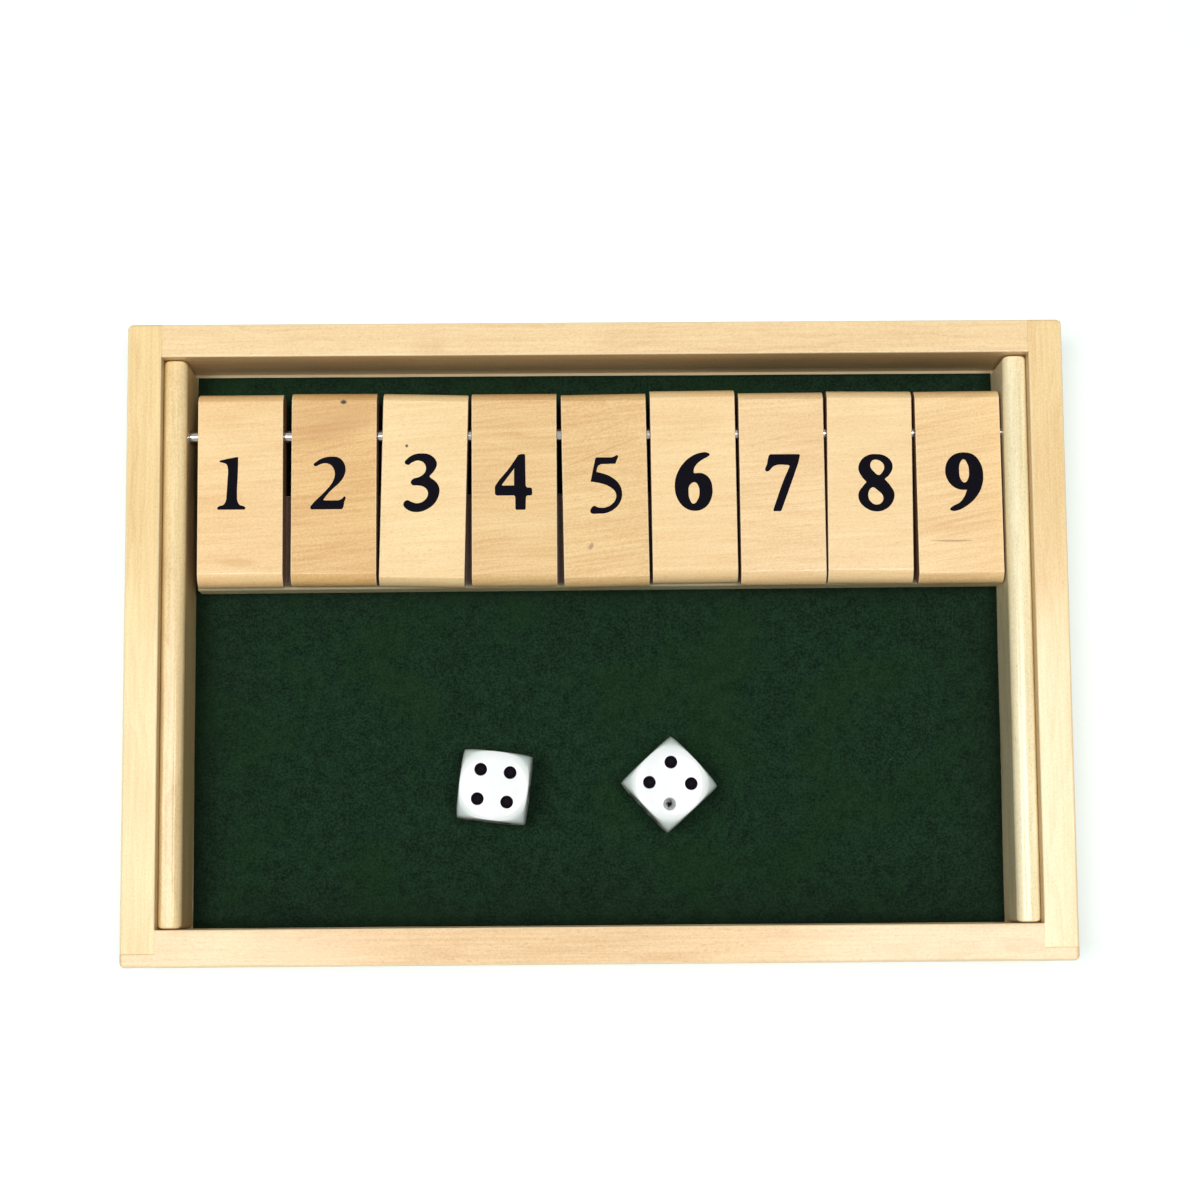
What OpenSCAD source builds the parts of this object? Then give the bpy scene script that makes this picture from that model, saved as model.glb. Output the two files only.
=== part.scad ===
// Shut the box game: a shallow open wooden tray with a felt floor, nine number tiles that
// hinge on a steel rod along the back, and two dice.
// Origin: centre of the underside. +X runs to the high numbers, +Y to the tile row, +Z up.

/* [Box frame] */
// Width over the side rails
box_w = 214.4; // [190:0.2:260]
// Depth from the front rail's face to the back rail's face
box_d = 146.2; // [120:0.2:180]
// Height of the rails, which stand on the table
box_h = 24; // [22:0.5:32]
// Thickness of the two side rails
side_rail_t = 7.8; // [6:0.1:10]
// Thickness of the back rail, which butts between the side rails
back_rail_t = 7.6; // [6:0.1:10]
// Thickness of the front rail, lap included
front_rail_t = 8.4; // [6:0.1:10]
// Thickness of the front rail's lap, which covers the ends of the side rails
lap_t = 3; // [1.5:0.1:4.5]
// Rounding of the frame's four upright corners
corner_r = 1.2; // [0.5:0.1:3]
// Sanded rounding along the frame's outer top edges
outer_ease = 0.7; // [0.3:0.1:1.5]
// Sanded rounding along the frame's inner top edges
inner_ease = 0.4; // [0.2:0.1:1]

/* [Base and felt] */
// Thickness of the plywood base, flush with the underside of the rails
base_t = 3; // [2:0.1:4]
// How far the base reaches into the rebate under each rail
rebate_w = 4; // [2:0.1:5]
// Room round the base in its rebate
base_gap = 0.1; // [0.05:0.05:0.4]
// Thickness of the felt
felt_t = 0.9; // [0.5:0.1:2]
// Bare strip of base between the felt and the back rail
felt_back_gap = 0.8; // [0.2:0.1:2]
// Room between the felt and what stands at its other three edges
felt_gap = 0.1; // [0.05:0.05:0.5]

/* [Cheeks] */
// Thickness of each cheek, the inner side strip that carries the rod
cheek_t = 5; // [4:0.1:7]
// How far the cheeks' tops lie under the top of the frame
cheek_drop = 3; // [1:0.1:5]
// Gap between a cheek and its side rail
cheek_gap = 0.35; // [0.1:0.05:1]
// Gap between a cheek's ends and the front and back rails
cheek_end_gap = 0.2; // [0.1:0.05:0.6]
// Rounding of the cheeks' long top edges
cheek_round = 1.9; // [0.5:0.1:1.9]
// Rounding of the cheeks' upright corners
cheek_corner_r = 1; // [0.5:0.1:1.9]

/* [Rod] */
// Diameter of the steel rod
rod_d = 3; // [2:0.1:3.6]
// How far each end of the rod goes into its cheek
rod_seat_l = 3.6; // [2:0.1:3.8]
// Radial play of the rod's ends in the cheeks
rod_seat_gap = 0.02; // [0.01:0.01:0.05]
// Radial play of the tiles on the rod
rod_tile_gap = 0.08; // [0.03:0.01:0.1]

/* [Tiles] */
// Free play of the whole tile row between the cheeks, which the nine tiles share out
play = 10.8; // [7:0.1:16]
// Length of a tile from nose to tail
tile_l = 45; // [38:0.5:55]
// Thickness of a tile
tile_t = 7; // [6:0.1:8]
// Distance from the rod's axis to the tiles' tails
tile_tail = 9.8; // [7:0.1:10]
// Space between the tiles' tails and the back rail
tail_space = 7.3; // [5:0.1:12]
// How far a tile's tail is rounded back
tail_round = 2.1; // [1:0.1:3]
// How far each tile's nose is rounded back, sanded by hand
nose_round = [2.8, 2.4, 1.6, 2.4, 1.7, 2.6, 2.7, 2.8, 1.9];
// Free play beside each tile, as shares of the whole, with the last at the right cheek
play_shares = [22, 18, 12, 8, 10, 8, 7, 6.5, 7, 6];
// Turn of each tile in its play, in degrees for each 10 mm of play in all
tile_turns = [0.1, -0.1, -1.2, 0, 0.7, 0.4, 0.2, -0.4, 0.3];
// How far each tile's blank was drilled off its mean place, towards the back
tile_shifts = [0, 0.2, -0.1, -0.1, -0.3, 0.4, -0.2, 0, -0.1];

/* [Tile rest] */
// Height of the rest strip above the felt
rest_h = 7.5; // [7:0.1:9]
// Depth of the rest strip, front to back
rest_d = 21.5; // [8:0.5:28]
// How far the rest's left end stands behind the tiles' mean front
rest_setback = 0; // [-0.5:0.1:3]
// How much further back the rest's right end stands than its left
rest_slant = 0.9; // [0:0.1:2]
// Rounding of the rest's top front edge
rest_round = 1.2; // [0.3:0.1:2.5]

/* [Dice] */
// Edge of a die over its flats
die_s = 16; // [12:0.5:16]
// Radius of the ball that rounds off a die's corners and edges
die_ball_r = 10.8; // [10.8:0.05:11.2]
// Diameter of a pip
pip_d = 2.9; // [1.5:0.1:3]
// Distance from a pip to the middle row
pip_step = 3.35; // [2.6:0.05:3.5]
// Depth of a pip
pip_depth = 0.6; // [0.2:0.1:0.8]
// Place of the left die's centre, along X and Y
die_left_at = [-23.8, -32.9];
// Turn of the left die
die_left_turn = -6.9; // [-45:0.1:45]
// Place of the right die's centre, along X and Y
die_right_at = [16.2, -32.6];
// Turn of the right die
die_right_turn = 42.7; // [-45:0.1:45]

/* [Hidden] */
$fn = 48;

// Enough to carry a cut or a blank clear of the piece it crosses
past = 1;
LEFT = -1;
RIGHT = 1;
tile_count = 9;

// Inner faces of the frame
in_x = box_w / 2 - side_rail_t;
in_front = front_rail_t - box_d / 2;
in_back = box_d / 2 - back_rail_t;

// Levels, from the table up
felt_top = base_t + felt_t;
tile_z = felt_top + rest_h;
rod_z = tile_z + tile_t / 2;
cheek_top = box_h - cheek_drop;

// Tray between the cheeks
tray_x = in_x - cheek_gap - cheek_t;
cheek_mid_x = tray_x + cheek_t / 2;

// Tile row: the tiles fill the tray between the cheeks, less the play
tile_w = (2 * tray_x - play) / tile_count;
rod_y = in_back - tail_space - tile_tail;
tile_front = rod_y + tile_tail - tile_l;

// Sum of the first n shares of the play
function shares(n) = n == 0 ? 0 : play_shares[n - 1] + shares(n - 1);
// Middle of tile i, counted from 0 at the left
function tile_x(i) = -tray_x + play * shares(i + 1) / shares(tile_count + 1) + (i + 0.5) * tile_w;

wood_pale = [0.95, 0.83, 0.60];
wood_tan = [0.90, 0.75, 0.52];
tile_tints = [wood_pale, wood_tan, wood_pale, wood_pale, wood_tan, wood_pale, wood_pale, wood_pale,
    wood_pale];

// A block given by its low and high corners
module block(low, high) {
    translate(low) cube(high - low);
}

// Flat outline, w by h from the origin, with round top corners
module eased_top(w, h, r) {
    square([w, h - r]);
    translate([r, 0]) square([w - 2 * r, h]);
    translate([r, h - r]) circle(r);
    translate([w - r, h - r]) circle(r);
}

// Flat outline, w by h about its middle, with four round corners
module rounded(w, h, r) {
    square([w - 2 * r, h], center = true);
    square([w, h - 2 * r], center = true);
    for (x = [-1, 1], y = [-1, 1])
        translate([x * (w / 2 - r), y * (h / 2 - r)]) circle(r);
}

// Cutter that rounds one top edge of the well: it runs length along X, wood on its +Y side
module edge_cutter(length, r) {
    rotate([90, 0, 90]) linear_extrude(length, center = true) difference() {
        translate([-past, -r]) square([r + past, r + past]);
        translate([r, -r]) circle(r);
    }
}

// The glued-up frame, eased all round after its joints are closed
module whole_frame() {
    difference() {
        intersection() {
            linear_extrude(box_h) rounded(box_w, box_d, corner_r);
            rotate([90, 0, 0]) linear_extrude(box_d, center = true)
                translate([-box_w / 2, 0]) eased_top(box_w, box_h, outer_ease);
            rotate([90, 0, 90]) linear_extrude(box_w, center = true)
                translate([-box_d / 2, 0]) eased_top(box_d, box_h, outer_ease);
        }
        block([-in_x, in_front, -past], [in_x, in_back, box_h + past]);
        block([-in_x - rebate_w, in_front - rebate_w, -past], [in_x + rebate_w, in_back + rebate_w, base_t]);
        translate([0, in_back, box_h]) edge_cutter(2 * in_x, inner_ease);
        translate([0, in_front, box_h]) rotate([0, 0, 180]) edge_cutter(2 * in_x, inner_ease);
        translate([0, (in_front + in_back) / 2, box_h]) for (side = [LEFT, RIGHT])
            rotate([0, 0, -90 * side]) translate([0, in_x, 0])
                edge_cutter(in_back - in_front, inner_ease);
    }
}

// The front rail is rabbeted at both ends: its lap covers the side rails' ends
module front_rail() {
    color(wood_pale) intersection() {
        whole_frame();
        union() {
            block([-box_w / 2, -box_d / 2, 0], [box_w / 2, lap_t - box_d / 2, box_h]);
            block([-in_x, -box_d / 2, 0], [in_x, in_front, box_h]);
        }
    }
}

module back_rail() {
    color(wood_pale) intersection() {
        whole_frame();
        block([-in_x, in_back, 0], [in_x, box_d / 2, box_h]);
    }
}

// A side rail runs from the front rail's lap to the very back
module side_rail(side) {
    color(wood_pale) intersection() {
        whole_frame();
        translate([side * (in_x + side_rail_t / 2), lap_t / 2, box_h / 2])
            cube([side_rail_t, box_d - lap_t, box_h], center = true);
    }
}

module base_panel() {
    reach = rebate_w - base_gap;
    color(wood_tan) block([-in_x - reach, in_front - reach, 0], [in_x + reach, in_back + reach, base_t]);
}

module felt_lining() {
    color([0.09, 0.17, 0.11])
        block([felt_gap - tray_x, in_front + felt_gap, base_t],
            [tray_x - felt_gap, in_back - felt_back_gap, felt_top]);
}

// A cheek stands on the base, rounded along its top and at its upright corners
module cheek(side) {
    cheek_l = in_back - in_front - 2 * cheek_end_gap;
    cheek_h = cheek_top - base_t;
    color(wood_pale) difference() {
        translate([side * cheek_mid_x, (in_front + in_back) / 2, base_t]) intersection() {
            linear_extrude(cheek_h) rounded(cheek_t, cheek_l, cheek_corner_r);
            rotate([90, 0, 0]) linear_extrude(cheek_l, center = true)
                translate([-cheek_t / 2, 0]) eased_top(cheek_t, cheek_h, cheek_round);
        }
        rod_line(rod_d / 2 + rod_seat_gap, tray_x + rod_seat_l);
    }
}

// A cylinder on the rod's axis that reaches x each way
module rod_line(r, x) {
    translate([0, rod_y, rod_z]) rotate([0, 90, 0]) cylinder(h = 2 * x, r = r, center = true);
}

module pivot_rod() {
    color("silver") rod_line(rod_d / 2, tray_x + rod_seat_l);
}

// The strip under the tiles' noses, glued on the felt a little out of square
module tile_rest() {
    slant = atan(rest_slant / (2 * tray_x));
    color(wood_pale) intersection() {
        block([-tray_x, in_front, felt_top], [tray_x, rod_y, tile_z]);
        translate([-tray_x, tile_front + rest_setback, felt_top]) rotate([0, 0, slant])
            rotate([90, 0, 90]) linear_extrude(4 * tray_x, center = true) {
                square([rest_d, rest_h - rest_round]);
                translate([rest_round, 0]) square([rest_d - rest_round, rest_h]);
                translate([rest_round, rest_h - rest_round]) circle(rest_round);
            }
    }
}

// Radius of the arc that rounds a tile's end back by s over its whole thickness
function end_radius(s) = (tile_t * tile_t / 4 + s * s) / (2 * s);

// Side view of a tile, X from nose to tail: a flat board with two discs for its ends
module tile_outline(nose) {
    nose_r = end_radius(nose);
    tail_r = end_radius(tail_round);
    intersection() {
        square([3 * tile_l, tile_t], center = true);
        union() {
            translate([nose_r, 0]) circle(nose_r);
            translate([tile_l - tail_r, 0]) circle(tail_r);
            translate([nose_r, -tile_t]) square([tile_l - nose_r - tail_r, 2 * tile_t]);
        }
    }
}

// Tile i, lying on the rest, with its bore true to the rod though its blank is a little out
module tile(i) {
    color(tile_tints[i]) difference() {
        translate([tile_x(i), rod_y, rod_z]) rotate([0, 0, tile_turns[i] * play / 10])
            translate([0, tile_tail - tile_l + tile_shifts[i], 0])
                rotate([90, 0, 90]) linear_extrude(tile_w, center = true) tile_outline(nose_round[i]);
        rod_line(rod_d / 2 + rod_tile_gap, tray_x);
    }
}

// Pips on a face that looks up: corners in pairs along each diagonal, a middle row, a centre
module pips(count) {
    ball_r = (pip_d * pip_d / 4 + pip_depth * pip_depth) / (2 * pip_depth);
    spots = [
        if (count > 1) each [[-1, -1], [1, 1]],
        if (count > 3) each [[-1, 1], [1, -1]],
        if (count == 6) each [[-1, 0], [1, 0]],
        if (count % 2 == 1) [0, 0]
    ];
    for (spot = spots)
        translate([spot.x * pip_step, spot.y * pip_step, die_s / 2 + ball_r - pip_depth]) sphere(ball_r);
}

// A die with its four up: opposite faces add up to seven
module die(at, turn) {
    color("white") translate([at.x, at.y, felt_top + die_s / 2]) rotate([0, 0, turn]) difference() {
        intersection() {
            cube(die_s, center = true);
            sphere(die_ball_r);
        }
        pips(4);
        rotate([180, 0, 0]) pips(3);
        rotate([0, 90, 0]) pips(1);
        rotate([0, -90, 0]) pips(6);
        rotate([90, 0, 0]) pips(2);
        rotate([-90, 0, 0]) pips(5);
    }
}

front_rail();
back_rail();
side_rail(LEFT);  // left_rail
side_rail(RIGHT);  // right_rail
base_panel();
felt_lining();
cheek(LEFT);  // left_cheek
cheek(RIGHT);  // right_cheek
pivot_rod();
tile_rest();
tile(0);  // tile_1
tile(1);  // tile_2
tile(2);  // tile_3
tile(3);  // tile_4
tile(4);  // tile_5
tile(5);  // tile_6
tile(6);  // tile_7
tile(7);  // tile_8
tile(8);  // tile_9
die(die_left_at, die_left_turn);  // die_left
die(die_right_at, die_right_turn);  // die_right
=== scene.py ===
import math

import bmesh
import bpy
import numpy as np
from mathutils.geometry import tessellate_polygon
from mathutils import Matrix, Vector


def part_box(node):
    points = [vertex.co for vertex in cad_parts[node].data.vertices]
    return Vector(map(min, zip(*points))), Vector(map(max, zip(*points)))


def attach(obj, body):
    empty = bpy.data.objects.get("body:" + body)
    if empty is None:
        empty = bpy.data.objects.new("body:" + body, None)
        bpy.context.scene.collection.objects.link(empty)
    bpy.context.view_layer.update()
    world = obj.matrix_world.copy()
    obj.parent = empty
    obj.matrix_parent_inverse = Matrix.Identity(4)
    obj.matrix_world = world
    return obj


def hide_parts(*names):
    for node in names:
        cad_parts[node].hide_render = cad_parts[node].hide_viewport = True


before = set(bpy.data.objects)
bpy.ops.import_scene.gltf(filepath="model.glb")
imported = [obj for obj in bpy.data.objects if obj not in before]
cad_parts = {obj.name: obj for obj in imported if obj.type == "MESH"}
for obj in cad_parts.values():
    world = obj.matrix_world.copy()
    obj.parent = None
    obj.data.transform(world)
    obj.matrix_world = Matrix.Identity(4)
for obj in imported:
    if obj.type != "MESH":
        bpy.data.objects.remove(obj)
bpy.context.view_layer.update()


# ---- Rails ------------------------------------------------------------------------------
# Four planed rails of pale basswood make the tray. The side rails run to the back, the back
# rail butts between them, and the rabbeted front rail laps over their ends. They are glued up
# first and sanded after, so the eased edges run on across the joints.

MM = 0.001

corner_r = 1.2 * MM         # upright corners of the frame
outer_ease = 0.5 * MM       # outer top edges
inner_ease = 0.4 * MM       # inner top edges
joint_ease = 0.07 * MM      # edges that meet in a glued joint
lap_t = 3 * MM              # the front rail's lap over the side rails' ends
shut = 0.0001 * MM          # a rebate of no width
step = 0.02 * MM            # length in which one section gives way to the next
weld = 0.001 * MM           # points nearer than this are one
crease = 35                 # degrees between faces from which an edge shades sharp
sawn_lean = (0.5, 0.9)      # how far a face looks along the grain where end grain begins and is full


def add_object(name, data):
    """A new object in the scene that carries this mesh, lamp or camera."""
    thing = bpy.data.objects.new(name, data)
    bpy.context.scene.collection.objects.link(thing)
    return thing


def to_mesh(name, points, faces, grain=None, **shares):
    """An object of these points and faces. Doubles are merged, faces are turned outwards, and faces that
    meet at less than the crease shade as one. Each of shares becomes an attribute with a value per point.
    The attribute sawn is 1 on faces that look along the axis numbered grain, where wood shows its end."""
    mesh = bpy.data.meshes.new(name)
    mesh.from_pydata(points.tolist(), [], faces)
    for label, values in shares.items():
        layer = mesh.attributes.new(label, "FLOAT", "POINT")
        layer.data.foreach_set("value", values.ravel().astype(np.float32))
    shell = bmesh.new()
    shell.from_mesh(mesh)
    bmesh.ops.remove_doubles(shell, verts=shell.verts, dist=weld)
    bmesh.ops.recalc_face_normals(shell, faces=shell.faces)
    shell.to_mesh(mesh)
    shell.free()
    if grain is not None:
        facing = np.array([face.normal[grain] for face in mesh.polygons])
        end_share = np.interp(np.abs(facing), sawn_lean, (0, 1)).astype(np.float32)
        mesh.attributes.new("sawn", "FLOAT", "FACE").data.foreach_set("value", end_share)
    mesh.shade_smooth()
    mesh.set_sharp_from_angle(angle=math.radians(crease))
    piece = add_object(name, mesh)
    piece.modifiers.new("even_shading", "WEIGHTED_NORMAL").keep_sharp = True
    return piece


def around_cells(here):
    """Faces between each row of point numbers and the next, where every row closes on itself."""
    beside = np.roll(here, -1, axis=1)
    return np.stack([here[:-1], beside[:-1], beside[1:], here[1:]], -1).reshape(-1, 4)


def loft(name, loops, ring=False, **shares):
    """A closed skin over loops, an array (stations, points, 3): each cell of the grid is one face, each
    loop closes on itself, and the two end loops get a flat face, or meet each other in a ring."""
    stations, points = loops.shape[:2]
    here = np.arange(stations * points).reshape(stations, points)
    if ring:
        faces = around_cells(np.concatenate([here, here[:1]])).tolist()
    else:
        faces = around_cells(here).tolist() + [here[0, ::-1].tolist(), here[-1].tolist()]
    return to_mesh(name, loops.reshape(-1, 3), faces, **shares)


def round_off(distance, radius):
    """How far a surface has fallen back at this distance from an edge rounded to a quarter circle:
    r - sqrt(r^2 - (r - d)^2), and nothing past the radius."""
    inside = np.clip(radius - distance, 0, radius)
    return radius - np.sqrt(radius ** 2 - inside ** 2)


def bar(name, along, corners, axes, arc_points=6, grain=None):
    """A bar of changing section. axes are the numbers of the axes along it, across it and up, and corners
    (stations, corners, 3) are across, up and the corner's radius. With the edge directions d before and e
    after corner P, its arc is P - r d + r e + r (d sin t - e cos t)."""
    flat = corners[..., :2]
    before = flat - np.roll(flat, 1, axis=1)
    before = (before / np.linalg.norm(before, axis=-1, keepdims=True))[:, :, None]
    after = np.roll(before, -1, axis=1)
    radius = corners[:, :, None, 2:]
    turn = np.linspace(0, np.pi / 2, arc_points)[:, None]
    arcs = flat[:, :, None] + radius * (after - before + before * np.sin(turn) - after * np.cos(turn))
    outline = arcs.reshape(len(along), -1, 2)
    loops = np.empty(outline.shape[:2] + (3,))
    loops[..., axes[0]] = along[:, None]
    loops[..., axes[1]] = outline[..., 0]
    loops[..., axes[2]] = outline[..., 1]
    arris = ((radius[..., 0] > 2 * joint_ease) * np.sin(2 * turn[:, 0])).reshape(outline.shape[:2])
    return loft(name, loops, arris=arris, grain=axes[0] if grain is None else grain)


def end_stations(radius, count=6):
    """Distances from a rounded end, r (1 - cos t), which crowd together towards it."""
    return radius * (1 - np.cos(np.linspace(0, np.pi / 2, count)))


def section(*corners):
    """Corners of a bar's section at each station, every one of them given as across, up and its radius."""
    return np.stack([np.stack(np.broadcast_arrays(*corner), -1) for corner in corners], axis=1)


def rail_section(outer, inner, top, rebate, outer_r, inner_r):
    """A rail's section: outside bottom and top, inside top, and the rebate for the base."""
    seat = base_high.z
    back = inner - np.sign(inner - outer) * rebate
    return section((outer, 0, joint_ease), (outer, top, outer_r), (inner, top, inner_r), (inner, seat, 0),
                   (back, seat, 0), (back, 0, 0))


base_low, base_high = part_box("base_panel")
front_low, front_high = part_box("front_rail")
back_low, back_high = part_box("back_rail")
rail_top = front_high.z
well_x = back_high.x
well_front = front_high.y
well_back = back_low.y
rebate_w = base_high.x - well_x
lap_plane = front_low.y + lap_t


def front_rail_loops():
    """Stations from end to end of the front rail: the lap alone past the side rails' inner faces, and the
    whole rail with its rebate between them."""
    end = end_stations(corner_r)
    half = np.concatenate([front_high.x - end, [well_x + step, well_x]])
    along = np.concatenate([-half, half[::-1]])
    to_end = front_high.x - np.abs(along)
    whole = np.abs(along) < well_x + step / 2
    outer = front_low.y + round_off(to_end, corner_r)
    inner = np.where(whole, well_front, lap_plane - round_off(to_end, joint_ease))
    top = rail_top - round_off(to_end, outer_ease)
    rebate = np.where(whole, rebate_w, shut)
    inner_r = np.where(whole, inner_ease, joint_ease)
    return along, rail_section(outer, inner, top, rebate, outer_ease, inner_r)


def back_rail_loops():
    """Stations of the back rail, whose ends butt square against the side rails."""
    end = end_stations(joint_ease, 4)
    along = np.concatenate([-well_x + end, (well_x - end)[::-1]])
    fall = round_off(well_x - np.abs(along), joint_ease)
    outer = back_high.y - fall
    inner = well_back + fall
    return along, rail_section(outer, inner, rail_top - fall, rebate_w, outer_ease, inner_ease)


def side_rail_loops(side):
    """Stations of a side rail from its lapped front end to its open back end. The rebate stops short of both
    ends, and the inner edge is eased only where it stands free, between the front and back rails."""
    stops = np.array([base_low.y, well_front, well_back, base_high.y])
    pairs = (stops[:, None] + [-step / 2, step / 2]).ravel()
    along = np.concatenate([lap_plane + end_stations(joint_ease, 4), pairs,
                            (back_high.y - end_stations(corner_r))[::-1]])
    to_lap = along - lap_plane
    to_back = back_high.y - along
    outer = side * (front_high.x - round_off(to_back, corner_r) - round_off(to_lap, joint_ease))
    inner = side * (well_x + round_off(to_lap, joint_ease)) * np.ones_like(along)
    top = rail_top - round_off(to_back, outer_ease) - round_off(to_lap, joint_ease)
    rebate = np.where((along > base_low.y) & (along < base_high.y), rebate_w, shut)
    inner_r = np.where((along > well_front) & (along < well_back), inner_ease, joint_ease)
    return along, rail_section(outer, inner, top, rebate, outer_ease, inner_r)


def mark_inner_wall(rail, wall_x):
    """Gives a rail the attribute that darkens its inner wall: 1 on the faces of that wall between the front
    and back rails, less where the wall's edge is rounded over, and 0 elsewhere."""
    shares = []
    for face in rail.data.polygons:
        here = abs(face.center.x - wall_x) < inner_ease and well_front < face.center.y < well_back
        shares.append(min(max(2 * abs(face.normal.x) - 0.6, 0), 1) * here)
    rail.data.attributes.new("inner_wall", "FLOAT", "FACE").data.foreach_set("value", shares)


def color(red, green, blue):
    """Linear colour of screen values from 0 to 255."""
    share = np.array([red, green, blue]) / 255
    linear = np.where(share < 0.04045, share / 12.92, ((share + 0.055) / 1.055) ** 2.4)
    return (*linear, 1)


def put(tree, kind, sockets=(), **settings):
    """A new node with these settings. sockets gives each input a value, or an output to link from."""
    node = tree.nodes.new("ShaderNode" + kind)
    for name, value in settings.items():
        setattr(node, name, value)
    for name, value in dict(sockets).items():
        if isinstance(value, bpy.types.NodeSocket):
            tree.links.new(value, node.inputs[name])
        else:
            node.inputs[name].default_value = value
    return node


def blend(tree, share, low, high):
    """Output of a colour mix, low at share 0 and high at share 1."""
    return put(tree, "Mix", {0: share, 6: low, 7: high}, data_type="RGBA").outputs[2]


def ramp(tree, value, low, high, to_low=0.0, to_high=1.0):
    """Output that runs smoothly from to_low to to_high as value goes from low to high."""
    sockets = {"Value": value, "From Min": low, "From Max": high, "To Min": to_low, "To Max": to_high}
    return put(tree, "MapRange", sockets, interpolation_type="SMOOTHSTEP").outputs[0]


def sums(tree, how, *values):
    """Output of a math node over these values."""
    return put(tree, "Math", dict(enumerate(values)), operation=how).outputs[0]


def vectors(tree, how, *values):
    """Output of a vector math node over these values: a length for LENGTH, and a vector otherwise."""
    outputs = put(tree, "VectorMath", dict(enumerate(values)), operation=how).outputs
    return outputs["Value" if how == "LENGTH" else "Vector"]


def attribute(tree, name):
    """Output of a mesh attribute."""
    return put(tree, "Attribute", attribute_name=name).outputs["Fac"]


def cover(tree, surface, share, strength, tone):
    """Output of surface under tone, which hides as much of it as strength where share is 1."""
    return blend(tree, sums(tree, "MULTIPLY", share, strength), surface, tone)


def relief(tree, height, strength, depth):
    """Normals of a surface with these heights, depth in mm from its lowest to its highest."""
    return put(tree, "Bump", {"Height": height, "Strength": strength, "Distance": depth * MM}).outputs[0]


def noise(tree, place, scale, detail, roughness, output="Fac"):
    """Output of a noise over place, which is first stretched by scale, a number or one for each axis."""
    stretched = vectors(tree, "MULTIPLY", place, np.broadcast_to(scale, 3))
    return put(tree, "TexNoise", {"Vector": stretched, "Scale": 1.0, "Detail": detail,
                                  "Roughness": roughness}).outputs[output]


def make_group(name, layers, **kinds):
    """A shader group whose inputs are of these kinds: layers(tree, takes) builds it from them and gives its
    outputs by name, each a share from 0 to 1."""
    tree = bpy.data.node_groups.new(name, "ShaderNodeTree")
    for label, kind in kinds.items():
        tree.interface.new_socket(label, in_out="INPUT", socket_type="NodeSocket" + kind)
    outputs = layers(tree, tree.nodes.new("NodeGroupInput").outputs)
    for label in outputs:
        tree.interface.new_socket(label, in_out="OUTPUT", socket_type="NodeSocketFloat")
    leave = tree.nodes.new("NodeGroupOutput")
    for label, output in outputs.items():
        tree.links.new(output, leave.inputs[label])
    return tree


def use_group(tree, group, **sockets):
    """The outputs of a shader group placed in a material with these inputs."""
    return put(tree, "Group", sockets, node_tree=group).outputs


def figure_layers(tree, takes):
    """Figure of a close-grained pale wood. Place is in mm with the grain along X. Year rings are distances
    from the tree's heart, warped by a slow noise and fading in and out; fibres and flecks are noises drawn
    out along the grain, and pores are a fine mottle that is hardly drawn out."""
    place = takes["Place"]
    slow = noise(tree, place, (0.014, 0.06, 0.06), 3, 0.55, "Color")
    centred = vectors(tree, "SUBTRACT", slow, (0.5, 0.5, 0.5))
    warped = vectors(tree, "MULTIPLY_ADD", centred, (18, 18, 18), place)
    heart = vectors(tree, "LENGTH", vectors(tree, "MULTIPLY", warped, (0, 1, 1)))
    year = sums(tree, "FRACT", sums(tree, "DIVIDE", heart, takes["Ring_width"]))
    late = sums(tree, "MULTIPLY", sums(tree, "POWER", year, 3.0), ramp(tree, year, 1.0, 0.86))
    come_and_go = ramp(tree, noise(tree, place, (0.04, 0.16, 0.16), 2, 0.5), 0.35, 0.65, 0.15, 1.0)
    return {"Rings": sums(tree, "MULTIPLY", late, come_and_go),
            "Fibres": noise(tree, place, (0.05, 1.5, 1.5), 5, 0.66),
            "Flecks": ramp(tree, noise(tree, place, (0.8, 4.6, 4.6), 1, 0.4), 0.62, 0.76),
            "Pores": noise(tree, place, (1.9, 2.6, 2.6), 2, 0.6),
            "Cloud": noise(tree, place, (0.025, 0.1, 0.1), 3, 0.55)}


wood_figure = make_group("wood_figure", figure_layers, Place="Vector", Ring_width="Float")


def finish_material(name, layers, **values):
    """A material: layers(tree) gives the outputs that the Principled BSDF's inputs are linked to, and values
    are set on inputs of their own, with _ for a space."""
    material = bpy.data.materials.new(name)
    material.use_nodes = True
    tree = material.node_tree
    shader = tree.nodes["Principled BSDF"].inputs
    for label, output in layers(tree).items():
        tree.links.new(output, shader[label])
    for label, value in values.items():
        shader[label.replace("_", " ")].default_value = value
    return material


def object_place(tree, shift=(0, 0, 0), turn=(0, 0, 0)):
    """Object coordinates in mm, turned so that the grain runs along X and shifted to another part of it."""
    coordinates = put(tree, "TexCoord").outputs["Object"]
    return put(tree, "Mapping", {"Vector": coordinates, "Location": shift, "Rotation": np.radians(turn),
                                 "Scale": (1 / MM, 1 / MM, 1 / MM)}).outputs[0]


def mark_layers(tree, takes):
    """A soft-edged oval spot: full inside the radii Size round Centre, both in mm, its long axis turned by
    Angle about the upright, and its edge made ragged by a noise."""
    away = vectors(tree, "SUBTRACT", takes["Place"], takes["Centre"])
    level = put(tree, "VectorRotate", {"Vector": away, "Angle": takes["Angle"]},
                rotation_type="Z_AXIS").outputs[0]
    distance = vectors(tree, "LENGTH", vectors(tree, "DIVIDE", level, takes["Size"]))
    ragged = sums(tree, "MULTIPLY_ADD", noise(tree, takes["Place"], 2.2, 2, 0.6), 0.9, distance)
    return {"Mask": ramp(tree, ragged, 1.85, 1.0)}


small_mark = make_group("small_mark", mark_layers, Place="Vector", Centre="Vector", Size="Vector",
                        Angle="Float")


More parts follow.
